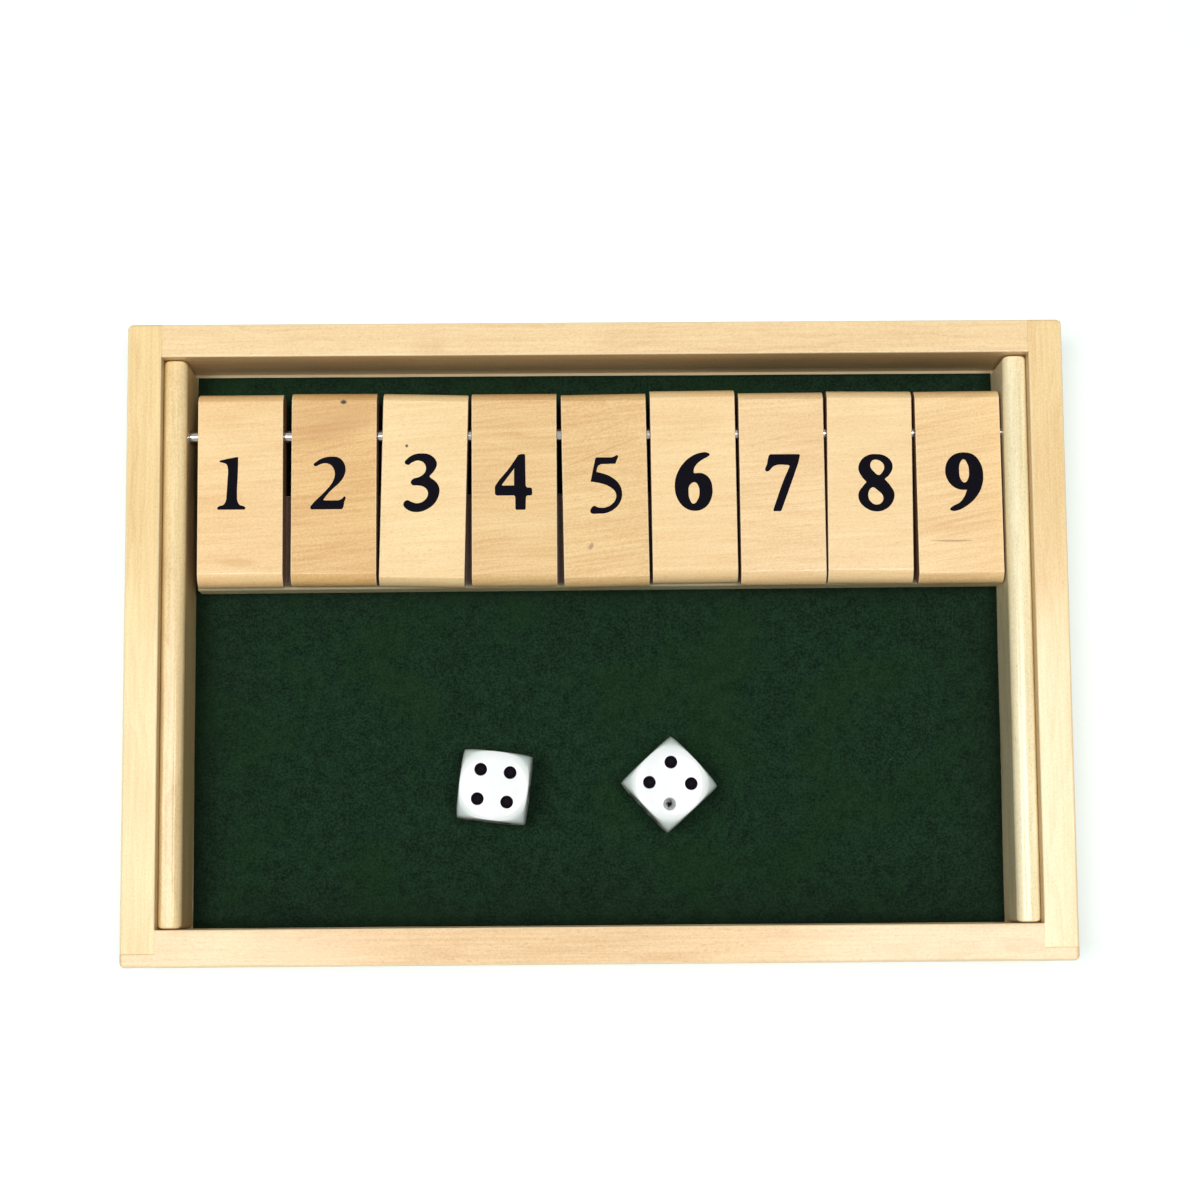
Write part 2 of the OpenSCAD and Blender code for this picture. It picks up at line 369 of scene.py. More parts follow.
def mark(at, size, tone, strength, angle=0):
    """A knot, stain, scratch or patch of painted shade of these radii round the point at, all in mm, turned
    by angle degrees: a function that wood() calls to lay it over its colour."""
    def lay(tree, surface):
        spot = use_group(tree, small_mark, Place=object_place(tree), Centre=at, Size=size,
                         Angle=-math.radians(angle))
        return cover(tree, surface, spot["Mask"], strength, color(*tone))
    return lay


def wood(name, pale, tan, shift, turn=(0, 0, 0), ring_width=2.6, figure=0.5, flecks=0.3, mottle=0.4,
         gloss=0.28, marks=(), end=(190, 148, 100), edge_paling=0.7):
    """Sanded wood under a thin varnish whose share is gloss: pale early wood, tan rings, fibres, flecks,
    pores and soft clouds, with eased edges made paler by edge_paling, partly as rubbed wear and partly as a
    painted highlight of the light that rounded edges catch, the side rails' inner walls darker, and end grain
    of the darker colour end. marks lay stains, knots and patches of painted shade over it. All colours are
    screen values."""
    def layers(tree):
        cut = use_group(tree, wood_figure, Place=object_place(tree, shift, turn), Ring_width=ring_width)
        fibres = ramp(tree, cut["Fibres"], 0.3, 0.7)
        pores = ramp(tree, cut["Pores"], 0.3, 0.7)
        shade = sums(tree, "MULTIPLY_ADD", cut["Rings"], figure, sums(tree, "MULTIPLY", fibres, 0.4))
        shade = sums(tree, "MULTIPLY_ADD", pores, mottle, shade)
        shade = sums(tree, "MULTIPLY_ADD", ramp(tree, cut["Cloud"], 0.3, 0.7), 0.4, shade)
        surface = blend(tree, sums(tree, "SUBTRACT", shade, 0.5 * mottle), color(*pale), color(*tan))
        surface = cover(tree, surface, cut["Flecks"], flecks, color(*fleck_tan))
        # Eased edges made paler: partly rubbed wear, partly a painted highlight of the light that the rounded
        # edges catch.
        surface = cover(tree, surface, attribute(tree, "arris"), edge_paling, color(*worn_lit_edge))
        # The side rails' inner walls between the front and back rails made darker.
        surface = cover(tree, surface, attribute(tree, "inner_wall"), 0.35, color(*wall_brown))
        surface = cover(tree, surface, attribute(tree, "sawn"), 0.95, color(*end))
        for lay in marks:
            surface = lay(tree, surface)
        rough = sums(tree, "MULTIPLY_ADD", fibres, 0.12, sums(tree, "MULTIPLY_ADD", cut["Flecks"], 0.1, 0.5))
        height = sums(tree, "SUBTRACT", fibres, sums(tree, "MULTIPLY", pores, 0.6))
        return {"Base Color": surface, "Roughness": rough, "Normal": relief(tree, height, 0.35, 0.03)}
    return finish_material(name, layers, IOR=1.45, Coat_Weight=gloss, Coat_Roughness=0.13)


fleck_tan = (196, 148, 96)
worn_lit_edge = (255, 240, 202)
wall_brown = (136, 106, 65)
lengthwise = (0, 0, 90)     # turn of the grain in a strip that runs from front to back
back_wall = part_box("back_rail")[0].y / MM

# Each rail: stations and section, axes, pale and tan wood, where in the log it was cut and how it lies,
# flecks, gloss and marks
rail_pieces = (
    ("front_rail", front_rail_loops(), (0, 1, 2), (252, 218, 166), (229, 187, 133),
     (0, 61, 40), (0, 0, 0), 0.4, 0.24, []),
    ("back_rail", back_rail_loops(), (0, 1, 2), (254, 224, 170), (232, 195, 140),
     (300, -120, 52), (0, 0, 0), 0.25, 0.28, [
         # painted shade: the back rail's inner wall darker towards its right end
         mark((66, back_wall, 12), (48, 0.3, 16), wall_brown, 0.4)]),
    ("left_rail", side_rail_loops(-1), (1, 0, 2), (254, 226, 164), (233, 197, 133),
     (120, 190, 66), lengthwise, 0.2, 0.22, []),
    ("right_rail", side_rail_loops(1), (1, 0, 2), (254, 224, 165), (232, 194, 131),
     (-150, -30, 58), lengthwise, 0.2, 0.36, []))

for node, (along, corners), axes, pale, tan, shift, turn, flecks, gloss, marks in rail_pieces:
    rail = bar(node + "_planed", along, corners, axes)
    if axes[0] == 1:
        mark_inner_wall(rail, math.copysign(well_x, corners[0, 0, 0]))
    rail.data.materials.append(wood(node + "_wood", pale, tan, shift, turn, flecks=flecks, gloss=gloss,
                                    marks=marks))
    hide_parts(node)
    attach(rail, "box")


# ---- Base -------------------------------------------------------------------------------
# A plain sheet of thin plywood, sawn to size and glued into the rebate under the rails.
# Its edges are barely eased, and a bare strip of it shows behind the felt.

base_ease = 0.15 * MM
core_half = 0.5 * MM        # half the thickness of the middle ply
ply_blur = 0.05 * MM        # how softly its colour ends on either side


def panel_loops(low, high, ease):
    """Stations along X of a sheet with all its edges rounded to the radius ease."""
    end = end_stations(ease, 4)
    along = np.concatenate([low.x + end, (high.x - end)[::-1]])
    fall = round_off(np.minimum(along - low.x, high.x - along), ease)
    radius = np.maximum(ease - fall, shut)
    near = low.y + fall
    far = high.y - fall
    foot = low.z + fall
    top = high.z - fall
    return along, section((near, foot, radius), (near, top, radius), (far, top, radius), (far, foot, radius))


def plywood(name):
    """Plywood: broad open figure on both faces, and the middle ply's end grain as a darker line round the
    edge, halfway up the thickness."""
    def layers(tree):
        cut = use_group(tree, wood_figure, Place=object_place(tree, (40, 25, 210)), Ring_width=7.0)
        shade = sums(tree, "MULTIPLY_ADD", cut["Rings"], 0.55, sums(tree, "MULTIPLY", cut["Fibres"], 0.5))
        surface = blend(tree, shade, color(198, 182, 142), color(166, 140, 102))
        height = put(tree, "SeparateXYZ", {0: put(tree, "TexCoord").outputs["Object"]}).outputs["Z"]
        middle = sums(tree, "ABSOLUTE", sums(tree, "SUBTRACT", height, base_high.z / 2))
        core = ramp(tree, middle, core_half + ply_blur, core_half - ply_blur)
        return {"Base Color": cover(tree, surface, core, 0.7, color(150, 104, 62)),
                "Roughness": sums(tree, "MULTIPLY_ADD", cut["Fibres"], 0.2, 0.55),
                "Normal": relief(tree, cut["Fibres"], 0.5, 0.05)}
    return finish_material(name, layers)


base = bar("base_sheet", *panel_loops(base_low, base_high, base_ease), (0, 1, 2))
base.data.materials.append(plywood("base_plywood"))
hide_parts("base_panel")
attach(base, "box")


# ---- Felt -------------------------------------------------------------------------------
# A rectangle of dark green wool felt, cut with a knife and glued flat to the base between the
# cheeks, so that the dice roll softly. Its face is matted, with a few loose fibres and specks.

felt_low, felt_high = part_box("felt_lining")
felt_pitch = 0.8 * MM       # spacing of the grid that carries the nap
felt_spread = 0.15 * MM     # how far pressing it down has spread it towards the back
nap_depth = 0.14 * MM       # how far the matted face dips between its tufts
cut_waver = 0.12 * MM       # how far the knife strays from the straight
tuft_cells = 1.3            # sizes in grid cells of single tufts,
mat_cells = 6               # of matted areas,
waver_cells = 9             # and of the knife's waver
felt_edge_r = 0.25 * MM     # rounding of the soft cut edge
glue_reach = 6.5 * MM       # how far the painted shade along the felt's edges and along the tile rest's foot reaches
rest_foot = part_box("tile_rest")[0].y
felt_seed = 7
fibre_points = 5            # points along a loose fibre
fibre_sides = 3


def grid_cells(here):
    """Faces between the rows and columns of a grid of point numbers."""
    return np.stack([here[:-1, :-1], here[1:, :-1], here[1:, 1:], here[:-1, 1:]], -1).reshape(-1, 4)


def smooth_field(draw, shape, size):
    """Random heights from 0 to 1 on a grid: white noise whose waves shorter than size cells are faded out
    by a bell curve, which is done on its Fourier transform."""
    across = np.fft.fftfreq(shape[0])[:, None]
    down = np.fft.fftfreq(shape[1])[None, :]
    fade = np.exp(-(across ** 2 + down ** 2) * (size * np.pi) ** 2)
    field = np.fft.ifft2(np.fft.fft2(draw.standard_normal(shape)) * fade).real
    return (field - field.min()) / np.ptp(field)


def felt_sheet(name):
    """The felt as a slab: a grid of heights on top, whose outer cells are pulled in by the knife's waver and
    dip where the cut edge is soft, with straight sides and a flat face below."""
    draw = np.random.default_rng(felt_seed)
    size = np.array(felt_high) - np.array(felt_low) + [0, felt_spread, 0]
    shape = tuple((size[:2] / felt_pitch).astype(int))
    u, v = np.meshgrid(np.linspace(0, 1, shape[0]), np.linspace(0, 1, shape[1]), indexing="ij")
    tufts = 0.6 * smooth_field(draw, shape, tuft_cells) + 0.4 * smooth_field(draw, shape, mat_cells)
    waver = cut_waver * smooth_field(draw, shape, waver_cells)
    x = felt_low.x + u * size[0] + waver * (1 - 2 * u) * (np.abs(2 * u - 1) > 0.99)
    y = felt_low.y + v * size[1] + waver * (1 - 2 * v) * (np.abs(2 * v - 1) > 0.99)
    to_edge = np.minimum(np.minimum(u, 1 - u) * size[0], np.minimum(v, 1 - v) * size[1])
    # Painted shade: the felt darkens towards its edges, where the walls shade it, and along the tile rest's
    # foot, where the tiles shade it.
    glue = np.maximum(np.exp(-to_edge / glue_reach), np.exp(-np.abs(y - rest_foot) / (0.5 * glue_reach)))
    z = felt_high.z - nap_depth * tufts - round_off(to_edge, felt_edge_r)
    top = np.stack([x, y, z], -1).reshape(-1, 3)
    here = np.arange(len(top)).reshape(shape)
    rim = np.concatenate([here[:-1, 0], here[-1, :-1], here[:0:-1, -1], here[0, :0:-1]])
    under = top[rim] * [1, 1, 0] + [0, 0, felt_low.z]
    below = len(top) + np.arange(len(rim))
    walls = np.stack([rim, np.roll(rim, -1), np.roll(below, -1), below], -1)
    faces = grid_cells(here).tolist() + walls.tolist() + [below[::-1].tolist()]
    glue = np.append(glue.ravel(), np.ones(len(under)))
    return to_mesh(name, np.concatenate([top, under]), faces, glue=glue)


def fibre_tangle(name, count, length, lift, thickness, seed):
    """Loose fibres on the felt. Each is a three-sided tube along an arc: its points run from a random spot
    in a random direction, swing aside as a sine and rise to lift and back as a sine."""
    draw = np.random.default_rng(seed)
    t = np.linspace(0, 1, fibre_points)[None, :, None]
    margin = 2 * length
    nearest = [felt_low.x + margin, felt_low.y + margin]
    furthest = [felt_high.x - margin, felt_high.y - margin]
    spot = draw.uniform(nearest, furthest, (count, 2))[:, None]
    heading = draw.uniform(0, 2 * np.pi, (count, 1))
    forward = np.stack([np.cos(heading), np.sin(heading)], -1)
    aside = np.stack([-np.sin(heading), np.cos(heading)], -1)
    reach = length * draw.uniform(0.4, 1, (count, 1, 1))
    swing = reach * draw.uniform(-0.35, 0.35, (count, 1, 1))
    flat = spot + forward * reach * t + aside * swing * np.sin(np.pi * t)
    rise = felt_high.z - nap_depth + lift * draw.uniform(0.3, 1, (count, 1, 1)) * np.sin(np.pi * t)
    around = np.arange(fibre_sides) * 2 * np.pi / fibre_sides
    ring = thickness / 2 * (aside[:, :, None] * np.cos(around)[None, None, :, None])
    tube = np.empty((count, fibre_points, fibre_sides, 3))
    tube[..., :2] = flat[:, :, None] + ring
    tube[..., 2] = rise + thickness / 2 * np.sin(around)
    here = np.arange(tube[..., 0].size).reshape(tube.shape[:3])
    beside = np.roll(here, -1, axis=2)
    sides = np.stack([here[:, :-1], beside[:, :-1], beside[:, 1:], here[:, 1:]], -1).reshape(-1, 4)
    ends = np.concatenate([here[:, 0, ::-1], here[:, -1]])
    return to_mesh(name, tube.reshape(-1, 3), sides.tolist() + ends.tolist())


def matted_layers(tree, takes):
    """Matted wool: fine tufts, a coarser mottle and slow patches as three noises. Place is in mm."""
    tufts = noise(tree, takes["Place"], 1.9, 4, 0.72)
    mottle = noise(tree, takes["Place"], 0.4, 3, 0.6)
    patches = noise(tree, takes["Place"], 0.05, 4, 0.6)
    tone = sums(tree, "MULTIPLY_ADD", ramp(tree, tufts, 0.35, 0.65), 0.72,
                sums(tree, "MULTIPLY", ramp(tree, mottle, 0.3, 0.7), 0.28))
    return {"Tone": tone, "Patches": ramp(tree, patches, 0.45, 0.68, 0.0, 0.35), "Height": tufts}


felt_mat = make_group("felt_mat", matted_layers, Place="Vector")


def felt_wool(name, dark, light, faded):
    """Dyed wool, fully matt, with the soft sheen of fibres seen edge on, and darker along its edges and the
    tile rest's foot: painted shade.
    """
    def layers(tree):
        mat = use_group(tree, felt_mat, Place=object_place(tree))
        wool = blend(tree, mat["Tone"], color(*dark), color(*light))
        wool = blend(tree, mat["Patches"], wool, color(*faded))
        return {"Base Color": cover(tree, wool, attribute(tree, "glue"), 0.5, color(14, 20, 12)),
                "Normal": relief(tree, mat["Height"], 0.8, 0.25)}
    return finish_material(name, layers, Roughness=0.95, Specular_IOR_Level=0.08, Sheen_Weight=0.04,
                           Sheen_Roughness=0.5, Sheen_Tint=color(120, 170, 130))


felt = felt_sheet("felt_sheet")
felt.data.materials.append(felt_wool("felt_green", (7, 23, 13), (35, 61, 42), (27, 56, 24)))
nap = fibre_tangle("felt_fibres", count=3600, length=2.4 * MM, lift=0.22 * MM, thickness=0.045 * MM,
                   seed=felt_seed + 1)
nap.data.materials.append(felt_wool("felt_fibre_green", (18, 38, 24), (37, 62, 42), (29, 58, 28)))
lint = fibre_tangle("felt_lint", count=12, length=1.1 * MM, lift=0.3 * MM, thickness=0.08 * MM,
                    seed=felt_seed + 2)
lint.data.materials.append(felt_wool("lint_pale", (70, 86, 68), (120, 130, 106), (90, 104, 84)))
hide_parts("felt_lining")
for piece in (felt, nap, lint):
    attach(piece, "box")


# ---- Cheeks -----------------------------------------------------------------------------
# Two strips stand on the base against the side rails and carry the rod. Each is moulded to a
# nearly half-round top, cut to length a little short, rounded at its ends and pushed in.

cheek_round = 1.9 * MM          # rounding of the long top edge that faces the felt
cheek_back_round = 0.9 * MM     # and of the one beside the side rail
cheek_corner_r = 1 * MM         # rounding of the upright corners
cheek_end_ease = 0.35 * MM      # rounding of the top at each end
cheek_crown = 0.22 * MM         # how far the middle of the top stands above its shoulders
cheek_ridge = 0.7 * MM          # half the width over which the middle is rounded
cheek_flat = 0.05 * MM          # least flat left between two roundings
cheek_press = 0.32 * MM         # how far gluing has pressed the strip towards the side rail


def cheek_loops(low, high, left_round, right_round):
    """Stations along Y of a cheek: full section, drawn in at both ends by the rounding of its corners."""
    end = end_stations(cheek_corner_r, 7)
    along = np.concatenate([low.y + end, np.linspace(low.y, high.y, 9)[1:-1], (high.y - end)[::-1]])
    to_end = np.minimum(along - low.y, high.y - along)
    fall = round_off(to_end, cheek_corner_r)
    left = low.x - cheek_press * (low.x < 0) + fall
    right = high.x + cheek_press * (high.x > 0) - fall
    top = high.z - round_off(to_end, cheek_end_ease)
    shoulder = top - cheek_crown
    room = (right - left) / 2 - cheek_ridge - cheek_flat
    return along, section(
        (left, low.z, joint_ease), (left, shoulder, np.minimum(left_round, room)),
        ((left + right) / 2, top, cheek_ridge), (right, shoulder, np.minimum(right_round, room)),
        (right, low.z, joint_ease))


left_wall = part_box("left_cheek")[1].x / MM
gap_shade = (70, 48, 32)    # painted shade on the cheek's inner wall in the narrow gap beside tile 1

# Each cheek: roundings of its left and right top edges, pale and tan wood, where in the log it was cut,
# gloss and marks
cheek_pieces = (
    ("left_cheek", (cheek_back_round, cheek_round), (247, 221, 161), (211, 177, 116),
     (70, -20, 95), 0.3, [
         mark((left_wall, 32, 10), (0.8, 18, 8), gap_shade, 0.55)]),
    # The right cheek's wood is paler than the left's as painted sheen: it stands in for the light reflected
    # over its whole top.
    ("right_cheek", (cheek_round, cheek_back_round), (255, 246, 203), (223, 206, 158),
     (-90, 260, 88), 0.35, []))

for node, rounds, pale, tan, shift, gloss, marks in cheek_pieces:
    cheek = bar(node + "_strip", *cheek_loops(*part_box(node), *rounds), (1, 0, 2), arc_points=9)
    cheek.data.materials.append(wood(node + "_wood", pale, tan, shift, lengthwise, ring_width=3.4,
                                     flecks=0.45, gloss=gloss, marks=marks, edge_paling=0.2))
    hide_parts(node)
    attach(cheek, "box")


# ---- Rod --------------------------------------------------------------------------------
# A length of drawn steel rod, chamfered at both ends, which is pressed into a blind hole in
# each cheek before the cheeks go in. The nine tiles turn on it.

rod_low, rod_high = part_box("pivot_rod")
rod_y = (rod_low.y + rod_high.y) / 2
rod_z = (rod_low.z + rod_high.z) / 2
rod_r = (rod_high.z - rod_low.z) / 2
rod_chamfer = 0.3 * MM
rod_sides = 64


def rod_loops():
    """Circles along the rod: x runs from end to end, and the radius is less by the chamfer at both ends."""
    x = np.array([rod_low.x, rod_low.x + rod_chamfer, rod_high.x - rod_chamfer, rod_high.x])[:, None]
    radius = rod_r - rod_chamfer * np.array([1, 0, 0, 1])[:, None]
    around = np.linspace(0, 2 * np.pi, rod_sides, endpoint=False)[None, :]
    y = rod_y + radius * np.cos(around)
    z = rod_z + radius * np.sin(around)
    return np.stack(np.broadcast_arrays(x, y, z), -1)


def drawn_steel(name):
    """Bright steel with the fine lines of the drawing die along it and a faint unevenness of polish."""
    def layers(tree):
        place = object_place(tree)
        lines = noise(tree, place, (0.02, 9, 9), 3, 0.6)
        polish = noise(tree, place, 0.3, 2, 0.5)
        return {"Base Color": blend(tree, lines, color(146, 141, 134), color(184, 179, 170)),
                "Roughness": sums(tree, "MULTIPLY_ADD", polish, 0.1, 0.07),
                "Normal": relief(tree, lines, 0.25, 0.01)}
    return finish_material(name, layers, Metallic=1.0)


rod = loft("pivot_rod_steel", rod_loops())
rod.data.materials.append(drawn_steel("rod_steel"))
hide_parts("pivot_rod")
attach(rod, "box")


# ---- Tile rest --------------------------------------------------------------------------
# A moulded strip glued on the felt under the tiles' noses, a little out of square. It holds
# the tiles level when they are down, and its rounded front edge faces the dice.

rest_low, rest_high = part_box("tile_rest")
rest_round = 1.7 * MM       # rounding of the top front edge
rest_slant = 0.55 * MM      # how far the right end stands behind the left
rest_short = 1.6 * MM       # how much the strip was cut short at its left end
rest_back_ease = 0.3 * MM


def rest_loops():
    """Stations along X of the strip, whose section moves back evenly from left to right."""
    along = np.linspace(rest_low.x + rest_short, rest_high.x, 15)
    drift = rest_slant * (along - rest_low.x) / (rest_high.x - rest_low.x)
    near = rest_low.y + drift
    far = rest_high.y - rest_slant + drift
    return along, section((near, rest_low.z, joint_ease), (near, rest_high.z, rest_round),
                          (far, rest_high.z, rest_back_ease), (far, rest_low.z, joint_ease))


# Its grain is given as upright, so its top counts as end grain and takes the dark end colour: painted shade
# for the top where it shows deep in the gaps between the tiles.
rest = bar("tile_rest_strip", *rest_loops(), (0, 1, 2), arc_points=9, grain=2)
rest.data.materials.append(wood("tile_rest_wood", (255, 246, 200), (240, 216, 160), (15, 330, 70),
                                mottle=0.5, gloss=0.08, end=(85, 53, 35)))
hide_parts("tile_rest")
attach(rest, "box")


# ---- Tiles ------------------------------------------------------------------------------
# Nine blanks are sawn across a long moulding, so the grain runs across each tile and nose and
# tail are rounded. The sides are sanded, and the bore for the rod is drilled on a jig: it is
# true to the rod although the blank may sit a little out of square.

tile_4_low, tile_4_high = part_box("tile_4")     # the one tile that lies square
tile_w = tile_4_high.x - tile_4_low.x
tile_l = tile_4_high.y - tile_4_low.y
tile_t = tile_4_high.z - tile_4_low.z
tail_round = 2.1 * MM       # how far the arc of the tail falls back
tail_soft = 0.5 * MM        # rounding beside its faces
tile_arris = 0.3 * MM       # sanded side edges
bore_play = 0.08 * MM       # air between rod and bore all round
bore_r = rod_r + bore_play
tile_turns = (0.11, -0.11, -1.3, 0, 0.76, 0.43, 0.22, -0.43, 0.32)     # degrees
nose_rounds = (2.9, 2.6, 1.8, 2.6, 1.9, 2.8, 2.9, 2.9, 2.1)            # mm that each nose's arc falls back
nose_softs = (1.6, 1.0, 0.5, 1.0, 0.5, 1.4, 1.5, 1.5, 0.6)             # mm of rounding beside the faces
end_points = 21             # points round a nose or tail
flat_points = 16            # and along a flat between them, with both its ends
edge_points = 6             # points round a sanded side edge


def rounded_end(fall, soft, psi):
    """Side view of a tile's end over the angles psi of its outward normal: an arc that falls back by fall
    over half the thickness, and a small arc of radius soft where it meets the two flat faces."""
    half = tile_t / 2
    arc = (half ** 2 + fall ** 2) / (2 * fall)
    limit = np.arcsin((half - soft) / (arc - soft))
    crease = (arc - soft) * np.cos(limit)
    on_arc = np.abs(psi) <= limit
    reach = np.where(on_arc, arc * np.cos(psi), crease + soft * np.cos(psi)) - arc
    height = np.where(on_arc, arc * np.sin(psi), np.sign(psi) * (half - soft) + soft * np.sin(psi))
    return reach, height


def tile_outline(front, back, nose_fall, nose_soft):
    """Closed side view as (y, z, normal y, normal z), measured from the rod: the nose, the top, the tail and
    the underside. Points on the flats stand where even angles round the rod meet them."""
    psi = np.linspace(-np.pi / 2, np.pi / 2, end_points)
    nose_reach, nose_z = rounded_end(nose_fall, nose_soft, psi)
    tail_reach, tail_z = rounded_end(tail_round, tail_soft, psi)
    nose = np.stack([front - nose_reach, nose_z, -np.cos(psi), np.sin(psi)], -1)
    tail = np.stack([back + tail_reach, tail_z, np.cos(psi), np.sin(psi)], -1)[::-1]
    start = np.arctan2(nose_z[-1], -nose[-1, 0])
    stop = np.pi - np.arctan2(nose_z[-1], tail[0, 0])
    angle = np.linspace(start, stop, flat_points)[1:-1]
    flat_y = -tile_t / 2 / np.tan(angle)
    ones = np.ones_like(flat_y)
    top = np.stack([flat_y, ones * tile_t / 2, 0 * ones, ones], -1)
    return np.concatenate([nose, top, tail, (top * [1, -1, 1, -1])[::-1]])


def tile_blank(name, low, high, turn, nose_fall, nose_soft):
    """A tile as a ring: the side view is carried across the width, over rounded side edges, down both side
    faces to the bore and back through it. Only the blank is turned, about the upright through the rod."""
    middle = (low + high) / 2
    arm = (rod_y - middle.y) / np.cos(turn)
    centre_x = middle.x - arm * np.sin(turn)
    outline = tile_outline(-arm - tile_l / 2, tile_l / 2 - arm, nose_fall, nose_soft)
    phi = np.linspace(0, np.pi / 2, edge_points)
    x_left = -(tile_w / 2 - tile_arris + tile_arris * np.cos(phi))
    x_inner = np.linspace(x_left[-1], -x_left[-1], 8)[1:-1]
    across = np.concatenate([x_left, x_inner, -x_left[::-1]])
    eased = tile_arris * (1 - np.sin(phi))
    inset = np.concatenate([eased, 0 * x_inner, eased[::-1]])
    y = outline[:, None, 0] - inset * outline[:, None, 2]
    z = outline[:, None, 1] - inset * outline[:, None, 3]
    x = np.broadcast_to(across, y.shape)
    skin = np.stack([centre_x + x * np.cos(turn) - y * np.sin(turn),
                     rod_y + x * np.sin(turn) + y * np.cos(turn), rod_z + z], -1)
    round_rod = np.arctan2(outline[:, 1], outline[:, 0])
    bore_y = bore_r * np.cos(round_rod)
    rims = []
    for side in (-tile_w / 2, tile_w / 2):
        along = (bore_y - side * np.sin(turn)) / np.cos(turn)
        rims.append(np.stack([centre_x + side * np.cos(turn) - along * np.sin(turn), rod_y + bore_y,
                              rod_z + bore_r * np.sin(round_rod)], -1)[:, None])
    loops = np.concatenate([rims[0], skin, rims[1]], axis=1)
    arris = np.zeros(loops.shape[:2])
    arris[:, 2:edge_points] = 1
    arris[:, -edge_points:-2] = 1
    return loft(name, loops, ring=True, arris=arris, grain=0), centre_x


def on_face(x, y, size, tone, strength, angle=0):
    """A mark on a tile's top face."""
    return mark((x, y, tile_4_high.z / MM), (*size, 2.5), tone, strength, angle)


streak = (204, 146, 92)

# Each tile: pale and tan wood, turn of its grain in degrees, year ring in mm, figure, and marks
tile_woods = (
    ((251, 218, 160), (234, 190, 129), 3, 3.1, 0.35, [
        on_face(-82.2, 18.6, (4.4, 0.9), (206, 160, 84), 0.42)]),
    ((243, 203, 138), (214, 165, 99), 6, 2.3, 0.4, [
        on_face(-61, 53.5, (13, 6.5), (196, 144, 84), 0.26, 12),
        on_face(-59.5, 50.6, (7.5, 2.6), (206, 152, 94), 0.3, 12),
        on_face(-62, 45, (7, 0.35), streak, 0.25, 17),
        on_face(-58.2, 55.9, (0.65, 0.55), (16, 8, 4), 1)]),
    ((253, 226, 171), (242, 204, 143), 4, 3.4, 0.3, [
        on_face(-43.6, 45.5, (0.34, 0.34), (52, 36, 22), 1)]),
    ((244, 209, 149), (220, 174, 111), 3, 1.7, 0.55, []),
    ((247, 213, 152), (220, 174, 112), 8, 2.6, 0.3, [
        on_face(1.8, 44, (9.6, 0.22), streak, 0.4, 22),
        on_face(3, 49.5, (7, 0.3), streak, 0.18, 24),
        on_face(-1.3, 21.9, (0.5, 0.85), (128, 88, 70), 0.6, -25)]),
    ((253, 224, 168), (240, 200, 141), 2, 3.0, 0.3, []),
    ((253, 222, 167), (234, 192, 136), 4, 2.2, 0.4, []),
    ((253, 224, 170), (242, 204, 146), 2, 3.2, 0.3, []),
    ((252, 220, 162), (231, 185, 124), 9, 2.8, 0.35, [
        on_face(83.6, 27.5, (8.6, 0.35), streak, 0.25, 14),
        on_face(84.5, 24.6, (7.5, 0.3), streak, 0.16, 14),
        on_face(81.6, 22.6, (4.4, 0.22), (150, 104, 60), 0.6)]))

tiles = []
for number, (turn, fall, soft, looks) in enumerate(zip(tile_turns, nose_rounds, nose_softs, tile_woods), 1):
    node = f"tile_{number}"
    low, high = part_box(node)
    tile, centre_x = tile_blank(node + "_board", low, high, math.radians(turn), fall * MM, soft * MM)
    pale, tan, grain_turn, ring_width, figure, marks = looks
    shift = (37 * number, 20 + 29 * number, 48 + 11 * number)
    tile.data.materials.append(wood(node + "_wood", pale, tan, shift, (0, 0, -grain_turn), ring_width,
                                    figure, mottle=0.45, marks=marks, end=(150, 104, 66)))
    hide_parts(node)
    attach(tile, node)
    tiles.append((node, centre_x, high.z))


# ---- Numbers ----------------------------------------------------------------------------
# The numbers 1 to 9 are printed on the tiles in blue-black ink, in plain bold figures with a
# broad-pen stress. The film is thin, lies in the wood's pores and has tiny bare pinholes.

ink_t = 0.03 * MM
ink_bite = 0.02 * MM        # how far the film reaches into the wood
ink_shrink = 0.07           # mm that the outlines below are drawn too wide all round
foot_y = 30 * MM            # the line from which the figures' heights are measured
handle = 0.36               # length of a handle, as a share of its span
span_steps = 8              # points along each span of an outline

